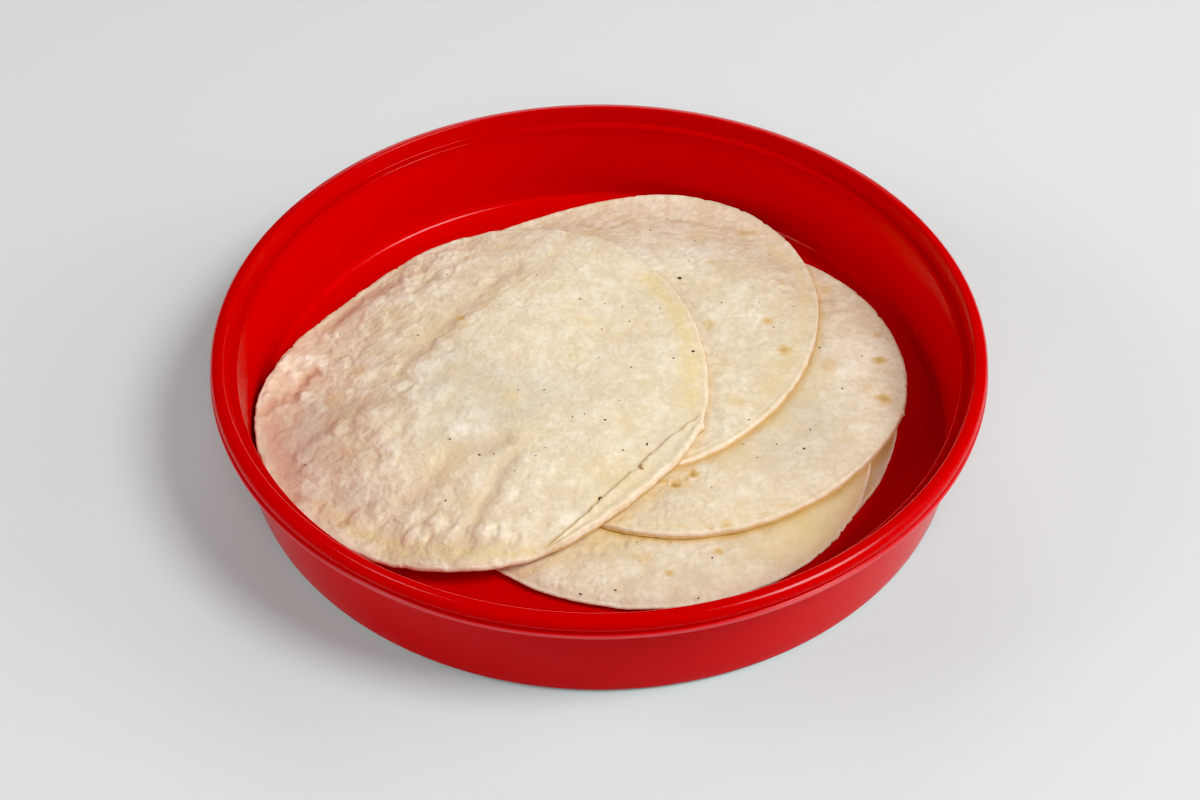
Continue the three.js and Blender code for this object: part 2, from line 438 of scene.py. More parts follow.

# Lowest first. An outline is a circle with shallow lobes: (how many, their depth, a peak in degrees).
# The swell is (height, length, heading) of a low wave that lifts a tortilla and all that lie on it.
# The shoulder is (width, drop) and the ridge along the edge (height, distance from the edge, half width),
# both fullest in front. The undercut is how far in the edge's lower half starts, and goldens is how strong
# the golden painted shadow is on the dough just outside the edge. Relief is (blisters, bubbles, lumps,
# streaks, pebbles).
tortillas = [
    {"name": "tortilla_1", "x": 26.0, "y": -3.0, "radius": 78.0,
     "lobes": ((2, 0.7, 28), (5, 0.4, 10)),
     "droop": 28.0, "swell": (0.3, 75.0, 20.0), "grid": 120, "seed": 11, "contactShadeStrength": 0.5,
     "shoulder": (2.0, 0.5), "ridge": (0.0, 1.3, 0.9), "undercut": 1.2,
     "relief": (0.3, 0.25, 0.2, 0.08, 0.07), "streakHeading": 20.0},
    {"name": "tortilla_2", "x": 15.0, "y": -17.6, "radius": 77.5,
     "lobes": ((2, 0.5, -41), (3, 0.8, -29)),
     "droop": 28.0, "swell": (0.3, 68.0, 110.0), "grid": 240, "seed": 23, "contactShadeStrength": 0.6,
     "shoulder": (4.0, 1.2), "ridge": (0.0, 1.3, 0.9), "undercut": 0.8,
     "relief": (0.42, 0.36, 0.30, 0.10, 0.10), "streakHeading": 60.0},
    {"name": "tortilla_3", "x": 29.8, "y": 10.2, "radius": 77.6,
     "lobes": ((2, 1.5, 31), (3, 0.9, 12), (5, 0.6, -15)),
     "droop": 28.0, "swell": (0.4, 60.0, 65.0), "grid": 260, "seed": 37, "contactShadeStrength": 1.0,
     "shoulder": (4.0, 0.6), "ridge": (0.20, 1.0, 0.62), "undercut": -0.35,
     "relief": (0.30, 0.30, 0.26, 0.08, 0.06), "streakHeading": 15.0},
    {"name": "tortilla_4", "x": 4.6, "y": 35.6, "radius": 77.8,
     "lobes": ((2, 3.9, 50), (3, 2.3, 44), (4, 0.8, -25)),
     "droop": 28.0, "swell": (0.5, 56.0, -30.0), "grid": 260, "seed": 53, "contactShadeStrength": 0.75,
     "shoulder": (3.6, 0.5), "ridge": (0.16, 1.0, 0.60), "undercut": -0.35,
     "relief": (0.34, 0.32, 0.28, 0.12, 0.06), "streakHeading": 80.0},
    {"name": "tortilla_5", "x": -38.7, "y": 0.3, "radius": 80.2,
     "lobes": ((2, 5.1, 65), (3, 1.7, -43), (4, 1.2, -5), (6, 0.7, -21)),
     "droop": 60.0, "swell": (0.9, 52.0, -38.0), "grid": 264, "seed": 71, "contactShadeStrength": 0.3,
     "shoulder": (1.8, 0.4), "ridge": (0.0, 1.3, 0.9), "undercut": 0.6,
     "relief": (0.56, 0.30, 0.48, 0.06, 0.08), "streakHeading": 52.0},
]

topRound = len(tortillas) - 1

# What marks each top, by tortilla number. Places are x, y over the basket, in mm.
# Toasted spots and moist yellow patches are (x, y, radius, strength) and dents are (x, y, radius, depth).
# Creases are (depth, half width, painted shade in the crease, chain of places), nicks are (degrees, depth,
# half width in degrees) and bands are (toasted, half width, moist, chain). Shade and light are broad soft
# spots of painted shade and painted light, darker and paler. Pads are raised blisters (x, y, radius,
# height), flecks are (x, y, radius), and the blush is red light bounced from the basket's wall, painted on
# the dough beside it: (strength, half width, chain).
marks = {
    1: {"moist": ((92, -42, 26.0, 0.5), (98, -20, 20.0, 0.5)),
        "shade": ((98, -34, 30.0, 0.3),),
        "paintedRedBounce": ((0.6, 20.0, ((100, -24), (94, -42), (84, -56))),)},
    2: {
        "toastAndShadow": ((15, -76, 2.6, 0.45), (11, -75, 1.8, 0.4), (38, -73, 1.6, 0.8), (22, -82, 1.4, 0.8)),
        "moist": ((2, -70, 7.0, 0.4), (45, -80, 9.0, 0.25), (80, -50, 22.0, 0.95),
                  (66, -62, 18.0, 0.9)),
        "nicks": ((-30, 0.5, 0.6), (-33, 0.5, 0.5), (-36, 0.7, 0.6), (-38, -0.4, 0.4), (-40, 0.5, 0.5),
                  (-45, 0.4, 0.5)),
        "flecks": ((12, -69, 0.5), (-6, -89, 0.6), (5, -88, 0.5), (31, -91, 0.5)),
        "shade": ((84, -48, 18.0, 0.3),),
        "paintedRedBounce": ((0.45, 10.0, ((92, -34), (88, -46), (80, -58))),),
    },
    3: {
        "toastAndShadow": ((85, 55, 2.6, 0.5), (101, 29, 1.9, 0.6), (100, 15, 2.6, 0.85), (94, 0, 2.6, 0.4),
                  (99, -6, 3.2, 0.85), (82, 11, 4.0, 0.35), (25, -47, 2.2, 1.0), (31, -42, 2.4, 0.9),
                  (21, -45, 1.6, 0.7), (28, -45, 3.6, 0.5), (41, -64.5, 2.4, 0.6), (36, -66, 1.4, 0.5)),
        "moist": ((78, 9, 7.0, 0.5), (71, -3, 6.0, 0.5), (61, -16, 8.0, 0.6), (45, -33, 8.0, 0.3),
                  (40, -58, 12.0, 0.2)),
        "dents": ((25, -46, 1.6, 0.4), (31, -42, 1.5, 0.35), (28, -44, 1.2, 0.3)),
        "bands": ((0.42, 0.5, 0.5, ((17, -64.2), (30, -65), (43, -63), (55, -58.5), (64, -53.5))),),
        "creases": ((0.3, 1.2, 0.3, ((78, 40), (86, 42), (96, 45))),
                    (0.25, 1.0, 0.25, ((79, 48), (85, 50), (88, 43)))),
        "nicks": ((32, 0.5, 0.8), (22, 0.6, 0.9), (6, 0.5, 0.7), (-1, -0.5, 1.0), (-6, 0.7, 0.8),
                  (-16, -0.8, 0.8)),
        "shade": ((66, -20, 20.0, 0.35),),
        "light": ((94, 12, 16.0, 0.6),),
        "flecks": ((79, 21, 0.55), (94, 17, 0.45), (85, -1, 0.5), (72, -21, 0.45), (74, -19, 0.35),
                   (60, -28, 0.5), (69, -30, 0.6), (53, -34, 0.45), (37, -48, 0.4)),
    },
    4: {
        "toastAndShadow": ((61, 32, 2.2, 0.75), (66, 17, 2.6, 0.8), (48, -10, 2.4, 0.35), (40, 30, 2.8, 0.5),
                  (56, 88.5, 2.6, 0.55), (60, 87.5, 2.2, 0.5), (42, 67, 2.6, 0.3), (68, 54, 2.2, 0.4)),
        "moist": ((58, 64, 5.0, 0.3), (47, -10, 6.0, 0.35), (70, 12, 5.0, 0.3)),
        "bands": ((0.0, 3.0, 0.55, ((66, 78), (73, 68), (76, 57), (76, 42), (73, 27), (67, 12), (58, -5))),),
        "dents": ((67, 58, 2.2, 0.45), (69, 50, 2.4, 0.45), (55, 34, 1.8, 0.4), (66, 32, 1.6, 0.4),
                  (58, 30, 1.4, 0.3), (26, 100, 1.2, 0.3), (34, 98, 1.2, 0.3), (42, 95, 1.2, 0.3)),
        "creases": ((0.6, 1.3, 0.2, ((20, 101), (32, 98.5), (40, 95.5), (48, 92.5), (59, 89))),
                    (0.4, 1.1, 0.15, ((-7, 98), (2, 92), (10, 97))),
                    (0.3, 1.0, 0.15, ((-4, 103), (4, 99), (12, 104)))),
        "nicks": ((83, 0.5, 0.9), (63, 0.4, 0.9), (52, 0.7, 0.8), (44, 0.9, 0.9), (35, 0.7, 0.8)),
        "light": ((20, 78, 24.0, 0.9),),
        "flecks": ((30, 57, 1.0), (45, 42, 0.5), (65, 73, 0.45), (71, 40, 0.4), (63, 29, 0.4),
                   (51, -19, 0.5), (20, 90, 0.45), (34, 67, 0.4), (37, 82, 0.45), (15, 60, 0.4)),
    },
    5: {
        "toastAndShadow": ((-50, 32, 1.7, 0.9), (-49, 27, 2.3, 0.35), (-41, 38, 2.4, 0.35), (-28, 52, 2.5, 0.25),
                  (-50, 68, 1.5, 0.55), (0, -58, 1.6, 0.5)),
        "moist": ((28, 34, 5.0, 0.8), (32, 3, 5.0, 0.8), (-85, 7, 3.6, 0.6), (-92, -4, 3.6, 0.6),
                  (-9, 12, 5.0, 0.4), (-30, -10, 5.0, 0.4), (0, -45, 12.0, 0.25), (-50, -40, 8.0, 0.3)),
        "bands": ((0.0, 4.2, 0.85, ((18, 54), (25, 42), (30, 29), (32, 15), (33, 2), (31, -12))),
                  (0.0, 3.6, 0.75, ((-92, -54), (-76, -66), (-58, -75), (-40, -79), (-22, -78)))),
        "dents": ((-41, 52, 2.4, 0.35), (23, 14, 1.6, 0.2), (19, -2, 2.2, 0.2)),
        "creases": (
            (0.6, 2.2, 0.5, ((-118, 12), (-113, 20), (-108, 26), (-103, 30), (-97, 37), (-92, 44), (-83, 52),
                             (-67, 63))),
            (1.3, 2.0, 0.8, ((-121, -16), (-116, -12), (-113, -5), (-108, -4), (-106, 3), (-104, 8),
                             (-101, 11))),
            (1.2, 5.0, 0.2, ((-112, -17), (-110, -23), (-106, -39), (-101, -50))),
            (1.1, 3.8, 0.25, ((-32, 60), (-37, 56), (-45, 42), (-51, 38), (-54, 31), (-57, 27), (-62, 18),
                              (-67, 13))),
            (0.4, 3.0, 0.2, ((-76, -9), (-86, -7), (-90, -12), (-95, -18), (-100, -22))),
            (1.2, 3.8, 0.25, ((-33, -29), (-40, -34), (-46, -35), (-50, -39), (-53, -45), (-57, -49),
                              (-62, -54))),
            (0.9, 2.8, 0.2, ((-28, -38), (-33, -47), (-36, -56), (-39, -62), (-42, -68), (-42, -75))),
            (0.8, 2.2, 0.1, ((-61, 61), (-65, 55), (-69, 49))),
            (0.45, 1.0, 0.6, ((-84, -62), (-82, -58), (-79, -55), (-76, -54))),
        ),
        "pads": (
            (-96, 30, 2.2, 0.9), (-91, 14, 3.2, 0.9), (-103, 18, 5.5, 0.8), (-108, 9, 2.6, 0.6),
            (-115, -4, 4.0, 0.7), (-109, -13, 3.6, 0.9), (-115, -22, 3.2, 0.6), (-104, -1, 3.2, 0.9),
            (-98, -8, 3.0, 0.9), (-91, -2, 4.6, 0.7), (-90, -19, 3.8, 0.7), (-95, -23, 3.4, 0.8),
            (-101, -30, 3.2, 0.8), (-97, -36, 3.8, 0.7), (-84, 5, 4.8, 0.7), (-62, 4, 7.2, 0.9),
            (-55, 18, 4.4, 0.9), (-69, -3, 3.4, 0.8), (-65, -8, 3.2, 0.8), (-78, -16, 7.0, 0.8),
            (-61, 49, 4.8, 0.8), (-71, 57, 3.8, 0.6), (-83, 46, 4.2, 0.6), (-78, 34, 4.4, 0.6),
            (-68, 28, 4.8, 0.6), (-53, -8, 5.4, 0.5), (-47, -26, 4.2, 0.7), (-58, -36, 7.4, 0.7),
            (-68, -34, 5.4, 0.5), (-70, -57, 4.8, 0.6), (-88, -56, 3.8, 0.6), (-76, -60, 6.0, 0.9),
            (-53, -65, 4.6, 1.3), (-59, -68, 4.2, 1.2), (-41, -69, 2.6, 0.7), (-37, -70, 4.2, 1.3),
            (-31, -72, 3.8, 1.1), (-22, -62, 6.0, 0.5), (-52, -55, 5.2, 0.6), (-41, -48, 6.6, 0.6),
            (-29, -58, 4.4, 0.5), (-80, -40, 6.2, 0.5), (-86, -42, 4.2, 0.6), (-84, -25, 4.8, 0.5),
            (27, 20, 3.4, 0.4), (31, 26, 2.6, 0.4),
        ),
        "shade": ((-40, -6, 24.0, 0.55), (-105, -22, 20.0, 1.0), (-88, -56, 16.0, 0.4)),
        "paintedRedBounce": (
            (0.7, 7.5, ((-113, -18), (-110, -25), (-106, -39), (-101, -50))),
            (0.6, 4.0, ((-119, -14), (-113, -5), (-106, 0), (-102, 10))),
            (0.4, 3.0, ((-113, 20), (-103, 30), (-92, 44), (-83, 52))),
            (0.5, 15.0, ((-112, 5), (-106, -30), (-94, -54))),
        ),
        "nicks": ((103, 0.6, 0.9), (120, 0.9, 0.8), (128, 0.3, 0.6), (136, 0.7, 0.7), (143, 0.4, 0.6),
                  (150, 0.6, 0.8), (162, 0.6, 0.8), (-18.5, -1.0, 1.6), (188, -1.5, 18.0)),
        "flecks": ((-5, -19, 0.55), (2, -22, 0.55), (-9, -20, 0.4), (16, -33, 0.75), (19, -36, 0.6),
                   (-28, -6, 0.4), (-19, -6, 0.45), (-7, 41, 0.45), (2, 39, 0.4), (11, 29, 0.45),
                   (1, 25, 0.4), (22, 36, 0.4), (26, 8, 0.6), (-94, 29, 0.5), (-65, 24, 0.55),
                   (-50, -30, 0.45), (-40, -37, 0.65), (-35, -37, 0.45), (-18, -35, 0.4), (-21, -39, 0.4),
                   (-50, -56, 0.5), (-99, -34, 0.5), (0, -57.5, 0.9), (-6, -66.5, 0.7), (-23, 55, 0.5),
                   (33, 12, 0.7)),
    },
}


# Distance from a tortilla's centre to its smooth edge: the radius plus each lobe's cosine, inside the wall.
def edgeRadius(tortilla, angle):
    radius = np.full_like(angle, tortilla["radius"])
    for lobes, depth, peak in tortilla["lobes"]:
        radius = radius + depth * np.cos(lobes * (angle - math.radians(peak)))
    limit = basketShape["baseRadius"] - basketShape["wallThickness"] - pile["wallClearance"]
    along = tortilla["x"] * np.cos(angle) + tortilla["y"] * np.sin(angle)
    centre = math.hypot(tortilla["x"], tortilla["y"])
    return np.minimum(radius, np.sqrt(along ** 2 - centre ** 2 + limit ** 2) - along)


# How far points lie outside a tortilla's smooth edge, away from its centre.
def beyondEdge(tortilla, x, y):
    dx, dy = x - tortilla["x"], y - tortilla["y"]
    return np.hypot(dx, dy) - edgeRadius(tortilla, np.arctan2(dy, dx))


# 1 over a tortilla, easing to 0 where what lies on it has drooped past its edge.
def support(tortilla, droop, x, y):
    return 1.0 - ease(beyondEdge(tortilla, x, y) / droop)


# Height of a tortilla's underside: floor, every swell so far, the rounds below and the climb up the wall.
def undersideHeight(index, x, y):
    nearWall = np.maximum(0.0, (np.hypot(x, y) - pile["climbStart"]) / pile["climbReach"])
    height = basketShape["floorThickness"] + pile["restGap"] + pile["climbHeight"] * nearWall ** 2
    droop = tortillas[index]["droop"]
    for below in range(index + 1):
        swell, length, heading = tortillas[below]["swell"]
        across = turned(x, y, heading)[0]
        height = height + 0.5 * swell * (1.0 + np.sin(2.0 * np.pi * across / length))
        if below < index:
            height = height + (pile["thickness"] + pile["layerGap"]) * support(tortillas[below], droop, x, y)
    return height


dough = {
    "blisterCell": 9.5, "leastBlister": 0.35,   # the least is the share left outside the rough patches
    "bubbleCell": 4.4, "leastBubble": 0.40,
    "pebbleCell": 2.3,
    "lumpSize": 13.0,
    "grainSize": 2.6, "grainHeight": 0.05,
    "streakSize": 3.2, "streakStretch": 4.0,
    "patchSize": 26.0, "patchContrast": 0.9,
    "warpSize": 6.0, "warpReach": 1.7,
    "settle": 0.4,         # how much lower the plain dough lies, as a share of the blisters' height
    "coveredRise": 0.40,   # relief under another tortilla stays below this
    "openRise": 1.3, "riseSharpness": 6.0,
    "sink": 1.55, "sinkSharpness": 5.0,
    "paleBlister": 0.6, "paleBubble": 0.5,
}

# The top round is smooth towards its middle and blisters towards the left and the front.
smoothMiddle = {"x": 2.0, "y": 14.0, "reach": 30.0, "fade": 55.0, "share": 0.30}

# How the listed marks are drawn. A pad lies in a shallow moat and a dent in a raised ring: their places and
# widths are shares of the mark's radius, and their heights shares of its height.
drawing = {
    "padRise": 0.75, "padFlatness": 1.3, "padSmooth": 0.7,
    "moat": 0.16, "moatPlace": 1.15, "moatWidth": 0.25,
    "ring": 0.6, "ringPlace": 1.3, "ringWidth": 0.5,
    "spotReach": 1.5, "spotWaver": 0.45, "spotWaverSize": 0.9,
    "wander": 0.8, "wanderSize": 4.0,       # how lines leave their chain of places
    "creaseWander": 1.6, "bounceWander": 2.0,
    "creaseMean": 0.75, "creaseUneven": 0.35, "creaseUnevenSize": 9.0,
    "breakSize": 3.4, "leastMoist": 0.6,    # how bands are broken up
    "contactReach": 1.9,    # how far out the golden painted shadow reaches beside the round that lies on it
}


# Least distance from points to a chain of straight stretches.
def chainDistance(x, y, chain):
    nearest = np.full_like(x, 1e6)
    for (startX, startY), (endX, endY) in zip(chain[:-1], chain[1:]):
        stepX, stepY = endX - startX, endY - startY
        along = ((x - startX) * stepX + (y - startY) * stepY) / (stepX ** 2 + stepY ** 2)
        along = np.clip(along, 0.0, 1.0)
        nearest = np.minimum(nearest, np.hypot(x - startX - along * stepX, y - startY - along * stepY))
    return nearest


# Soft round spots: the strongest of strength * (1 - (d/r)^2)^2, over spots with a wavering outline.
def spotField(x, y, spots, seed):
    field = np.zeros_like(x)
    for spotX, spotY, radius, strength in spots:
        waver = 1.0 + drawing["spotWaver"] * gradientNoise(x, y, drawing["spotWaverSize"] * radius, seed)
        reach = drawing["spotReach"] * radius * waver
        apart = ((x - spotX) ** 2 + (y - spotY) ** 2) / reach ** 2
        field = np.maximum(field, strength * np.clip(1.0 - apart, 0.0, 1.0) ** 2)
    return field


# Lines along chains, each with two strengths: for each of the two, the strongest of strength * a bell of the
# distance to the chain plus a shift.
def lineFields(x, y, lines, shift):
    first, second = np.zeros_like(x), np.zeros_like(x)
    for firstStrength, width, secondStrength, chain in lines:
        line = bell(chainDistance(x, y, chain) + shift, width)
        first = np.maximum(first, firstStrength * line)
        second = np.maximum(second, secondStrength * line)
    return first, second


# The dough's own relief, with its blisters, bubbles and rough patches: domes on warped places for blisters,
# bubbles and pebbles, and gradient noise for lumps, streaks and grain, calmer in the top round's middle.
def doughRelief(index, x, y, warped):
    tortilla = tortillas[index]
    seed = tortilla["seed"]
    blisters, bubbles, lumps, streaks, pebbles = tortilla["relief"]
    patch = ease(0.5 + dough["patchContrast"] * gradientNoise(x, y, dough["patchSize"], seed + 1))
    large = domes(*warped, dough["blisterCell"], seed + 2)
    small = domes(*warped, dough["bubbleCell"], seed + 3)
    rolling = fractalNoise(x, y, dough["lumpSize"], 3, seed + 4)
    lengthways, crossways = turned(x, y, tortilla["streakHeading"])
    streak = gradientNoise(lengthways / dough["streakStretch"], crossways, dough["streakSize"], seed + 7)
    grain = fractalNoise(x, y, dough["grainSize"], 2, seed + 9)
    pebble = domes(*warped, dough["pebbleCell"], seed + 14)
    calm = 1.0
    if index == topRound:
        away = np.hypot(x - smoothMiddle["x"], y - smoothMiddle["y"])
        calm = atLeast(smoothMiddle["share"], ease((away - smoothMiddle["reach"]) / smoothMiddle["fade"]))
    relief = blisters * large * atLeast(dough["leastBlister"], patch)
    relief = relief + bubbles * small * atLeast(dough["leastBubble"], patch)
    relief = calm * (relief + lumps * rolling) + streaks * streak + dough["grainHeight"] * grain
    relief = relief + (calm * pebble - 0.5) * pebbles
    relief = relief - dough["settle"] * calm * (blisters + dough["settle"] * bubbles)
    return relief, large, small, patch


# The listed pads and dents: a pad is a dome (1 - d^2)^flatness with a moat, a dent a bell with a ring.
def padsAndDents(own, x, y, warped, bubble):
    change = np.zeros_like(x)
    for padX, padY, radius, height in own.get("pads", ()):
        apart = np.hypot(warped[0] - padX, warped[1] - padY) / radius
        swell = np.clip(1.0 - apart ** 2, 0.0, 1.0) ** drawing["padFlatness"]
        change = change + drawing["padRise"] * height * atLeast(drawing["padSmooth"], bubble) * swell
        change = change - drawing["moat"] * height * bell(apart - drawing["moatPlace"], drawing["moatWidth"])
    for dentX, dentY, radius, depth in own.get("dents", ()):
        away = np.hypot(x - dentX, y - dentY) / radius
        ring = drawing["ring"] * bell(away - drawing["ringPlace"], drawing["ringWidth"])
        change = change + depth * (ring - bell(away, 1.0))
    return change


# The relief of a tortilla's top above its plain drape, held softly between its sink and its rise, and the
# fields that its colours follow.
def topRelief(index, x, y):
    own = marks.get(index + 1, {})
    seed = tortillas[index]["seed"]
    warped = (x + dough["warpReach"] * gradientNoise(x, y, dough["warpSize"], seed + 5),
              y + dough["warpReach"] * gradientNoise(x, y, dough["warpSize"], seed + 6))
    relief, large, small, patch = doughRelief(index, x, y, warped)
    relief = relief + padsAndDents(own, x, y, warped, small)

    wander = drawing["wander"] * gradientNoise(x, y, drawing["wanderSize"], seed + 12)
    uneven = gradientNoise(x, y, drawing["creaseUnevenSize"], seed + 15)
    uneven = drawing["creaseMean"] + drawing["creaseUneven"] * uneven
    # The groove is relief; the crease is painted shade darkening the dough in it.
    groove, creaseShade = lineFields(x, y, own.get("creases", ()), drawing["creaseWander"] * wander)
    relief = relief - uneven * groove
    rise = dough["openRise"] if index == topRound else dough["coveredRise"]
    sharpness = dough["riseSharpness"]
    relief = rise - np.log1p(np.exp((rise - relief) * sharpness)) / sharpness
    sharpness = dough["sinkSharpness"]
    relief = np.log1p(np.exp((relief + dough["sink"]) * sharpness)) / sharpness - dough["sink"]

    broken = ease(0.5 + gradientNoise(x, y, drawing["breakSize"], seed + 13))
    toasted, moistened = lineFields(x, y, own.get("bands", ()), wander)
    moistened = moistened * atLeast(drawing["leastMoist"], broken)
    # Painted red light, as bounced from the basket's wall, strongest in hollows.
    paintedRedBounce = np.zeros_like(x)
    for strength, width, chain in own.get("paintedRedBounce", ()):
        away = chainDistance(x, y, chain) + drawing["bounceWander"] * wander
        paintedRedBounce = np.maximum(paintedRedBounce, strength * bell(away, width))
    # Painted shadow: golden dough just outside each round that lies on this one.
    contactShade = np.zeros_like(x)
    for above in tortillas[index + 1:]:
        near = bell(np.maximum(beyondEdge(above, x, y), 0.0), drawing["contactReach"])
        contactShade = np.maximum(contactShade, above["contactShadeStrength"] * near)
    blisterAndRimLight = dough["paleBlister"] * large * patch + dough["paleBubble"] * small
    fields = {
        # Painted shade and painted light: broad spots, darker and paler.
        "shade": spotField(x, y, own.get("shade", ()), seed + 16),
        "light": spotField(x, y, own.get("light", ()), seed + 16),
        "height": relief,
        "blisterAndRimLight": np.clip(blisterAndRimLight, 0.0, 1.0),
        "toastAndShadow": np.maximum(spotField(x, y, own.get("toastAndShadow", ()), seed + 10), toasted * broken),
        "moist": np.maximum(spotField(x, y, own.get("moist", ()), seed + 11), moistened),
        "creaseShade": uneven * creaseShade, "paintedRedBounce": paintedRedBounce, "contactShade": contactShade,
    }
    return relief, fields


# Unit disc points for a square grid: its squares become circles, so that cells stay nearly equal in area.
def discGrid(count):
    line = np.linspace(-1.0, 1.0, count)
    u, v = np.meshgrid(line, line)
    wide = np.abs(u) >= np.abs(v)
    safeU = np.where(u == 0.0, 1.0, u)
    safeV = np.where(v == 0.0, 1.0, v)
    radius = np.where(wide, u, v)
    angle = np.where(wide, 0.25 * np.pi * v / safeU, 0.5 * np.pi - 0.25 * np.pi * u / safeV)
    return radius * np.cos(angle), radius * np.sin(angle)


# The square grid's outer points in order, anticlockwise.
def gridBorder(count):
    rising = np.arange(count - 1)
    numbers = np.arange(count * count).reshape(count, count)
    return np.concatenate([
        numbers[0, rising], numbers[rising, -1], numbers[-1, ::-1][rising], numbers[::-1, 0][rising]])


# A tortilla's edge. The furrow beside the ridge has its place, width and depth as shares of the ridge's own.
rim = {
    "band": 2.2,          # from the grid's border to the edge
    "inset": 0.8,         # from the last ring on the top to the edge
    "shelfRings": 15, "roundRings": 8, "undersideRings": 6,
    "wanderRings": 3,     # the last rings of the folded flap, which follow the ragged edge
    "ragged": 0.24, "topRagged": 0.408, "raggedSize": 8.0,
    "sink": 0.42,         # how far the edge's foot comes down into the gap below
    "sinkFade": 6,
    "fullHeading": -105.0,                 # where shoulder and ridge are fullest, in degrees
    "backWidth": 0.45, "backDrop": 0.40,   # share of the shoulder left on the far side
    "shoulderCalm": 0.6,  # share of the relief that the shoulder smooths away
    "furrowPlace": 2.0, "furrowWidth": 0.6, "furrowDepth": 0.7,
    "lipInset": 1.4, "lipWidth": 0.8, "lipRise": 0.22,
    # Painted light: the dough paler in a band along the edge, on the round's upper half and underside;
    # painted shade: golden on its lower half.
    "rimLightBand": 1.6, "ridgeMoist": 0.35,
    "sideLight": 0.6, "sideShade": 0.8,
}

# The turned-over part of the top round's rim. Reach is a list of (degrees, how far the flap comes in from
# the edge), and the widths and strengths of the last lines are those of the painted shadow along its free
# edge, in golden, ruddy and toasted tones.
fold = {
    "reach": ((-76, 1.8), (-70, 2.6), (-62, 5.0), (-56, 6.4), (-47, 7.4), (-41, 7.9),
              (-35, 8.0), (-27, 7.2), (-22, 5.0), (-17, 2.6), (-13, 1.8)),
    "leastReach": 1.8,
    "slit": (-41.0, 2.5, 0.8),   # degrees, depth and half width of a tear
    "ragged": 0.35, "raggedSize": 3.0, "seed": 401,
    "blend": 7.0,                # degrees over which the fold rises at its ends
    "gap": 0.14, "thickness": 1.4, "crown": 0.3,
    "bulge": 0.35,               # of its free edge, as a share of its thickness
    "rootInset": 1.15, "turnInset": 0.9, "ridgeInset": 1.0,   # of its root, the turn inside it and its ridge
    "rootRise": 0.02,
    "lowerLast": 7, "edgeLast": 10,   # numbers of the last rings of its lower face and of its free edge
    "coverFade": 1.5,
    # Painted shadow along the flap's free edge: golden, ruddy and toasted tones.
    "contactWidth": 1.2, "creaseWidth": 0.9, "creaseShift": 0.2, "toastWidth": 0.5, "toastAndShadow": 0.7,
    "moist": 0.15,
}


# How far the folded flap reaches in from the edge, and how fully it is folded, from 0 to 1.
def foldAt(index, turn):
    if index != topRound:
        return np.full_like(turn, fold["leastReach"]), np.zeros_like(turn)
    degrees = np.degrees(np.arctan2(np.sin(turn), np.cos(turn)))
    places, reaches = np.array(fold["reach"], dtype=float).T
    place, depth, width = fold["slit"]
    reach = np.interp(degrees, places, reaches) - depth * bell(degrees - place, width)
    ragged = fractalNoise(degrees, np.zeros_like(degrees), fold["raggedSize"], 3, fold["seed"])
    reach = reach + fold["ragged"] * ragged
    share = ease((degrees - places[0]) / fold["blend"]) * ease((places[-1] - degrees) / fold["blend"])
    return np.maximum(reach, fold["leastReach"]), share


# How far the edge stands out from its smooth line: a ragged wander, less each nick, which is a sharp notch.
def edgeWander(index, turn):
    tortilla = tortillas[index]
    rimX, rimY = tortilla["radius"] * np.cos(turn), tortilla["radius"] * np.sin(turn)
    ragged = rim["topRagged"] if index == topRound else rim["ragged"]
    out = ragged * fractalNoise(rimX, rimY, rim["raggedSize"], 4, tortilla["seed"] + 8)
    degrees = np.degrees(turn)
    for place, depth, width in marks.get(index + 1, {}).get("nicks", ()):
        away = np.abs((degrees - place + 180.0) % 360.0 - 180.0)
        out = out - depth * np.clip(1.0 - away / width, 0.0, 1.0)
    return out


# Places, heights and colour fields on a tortilla's top, at angles and distances from its centre: the drape
# and its relief, less the shoulder's drop, plus the ridge with its furrow in front and a low lip elsewhere.
def topPoints(index, turn, radius):
    tortilla = tortillas[index]
    x = tortilla["x"] + radius * np.cos(turn)
    y = tortilla["y"] + radius * np.sin(turn)
    relief, fields = topRelief(index, x, y)
    width, drop = tortilla["shoulder"]
    ridgeHeight, ridgePlace, ridgeWidth = tortilla["ridge"]
    facing = ease(0.75 + 0.75 * np.cos(turn - math.radians(rim["fullHeading"])))
    fromEdge = edgeRadius(tortilla, turn) - radius
    slope = ease(1.0 - fromEdge / (width * atLeast(rim["backWidth"], facing)))
    reach, folded = foldAt(index, turn)
    covered = folded * ease((reach + fold["coverFade"] - fromEdge) / fold["coverFade"])
    calm = (1.0 - rim["shoulderCalm"] * slope) * (1.0 - covered)
    ridge = facing * bell(fromEdge - ridgePlace, ridgeWidth)
    furrowPlace = ridgePlace + rim["furrowPlace"] * ridgeWidth
    furrow = facing * bell(fromEdge - furrowPlace, rim["furrowWidth"] * ridgeWidth)
    lip = bell(fromEdge - rim["lipInset"], rim["lipWidth"]) * (1.0 - facing)
    height = undersideHeight(index, x, y) + pile["thickness"] + relief * calm
    height = height - drop * atLeast(rim["backDrop"], facing) * slope
    height = height + rim["lipRise"] * lip + ridgeHeight * (ridge - rim["furrowDepth"] * furrow)
    fields["height"] = fields["height"] * calm
    pastFlap = fromEdge - reach
    # Painted light in a pale band along the edge, and painted shadow along the folded flap's free edge.
    overlays = (
        ("blisterAndRimLight", ease(rim["rimLightBand"] - fromEdge)),
        ("moist", rim["ridgeMoist"] * ridge * (ridgeHeight > 0.0)),
        ("contactShade", folded * bell(pastFlap, fold["contactWidth"])),
        ("creaseShade", folded * bell(pastFlap - fold["creaseShift"], fold["creaseWidth"])),
        ("toastAndShadow", fold["toastAndShadow"] * folded * bell(pastFlap, fold["toastWidth"])),
    )
    for key, overlay in overlays:
        fields[key] = np.maximum(fields[key], overlay)
    return x, y, height, fields


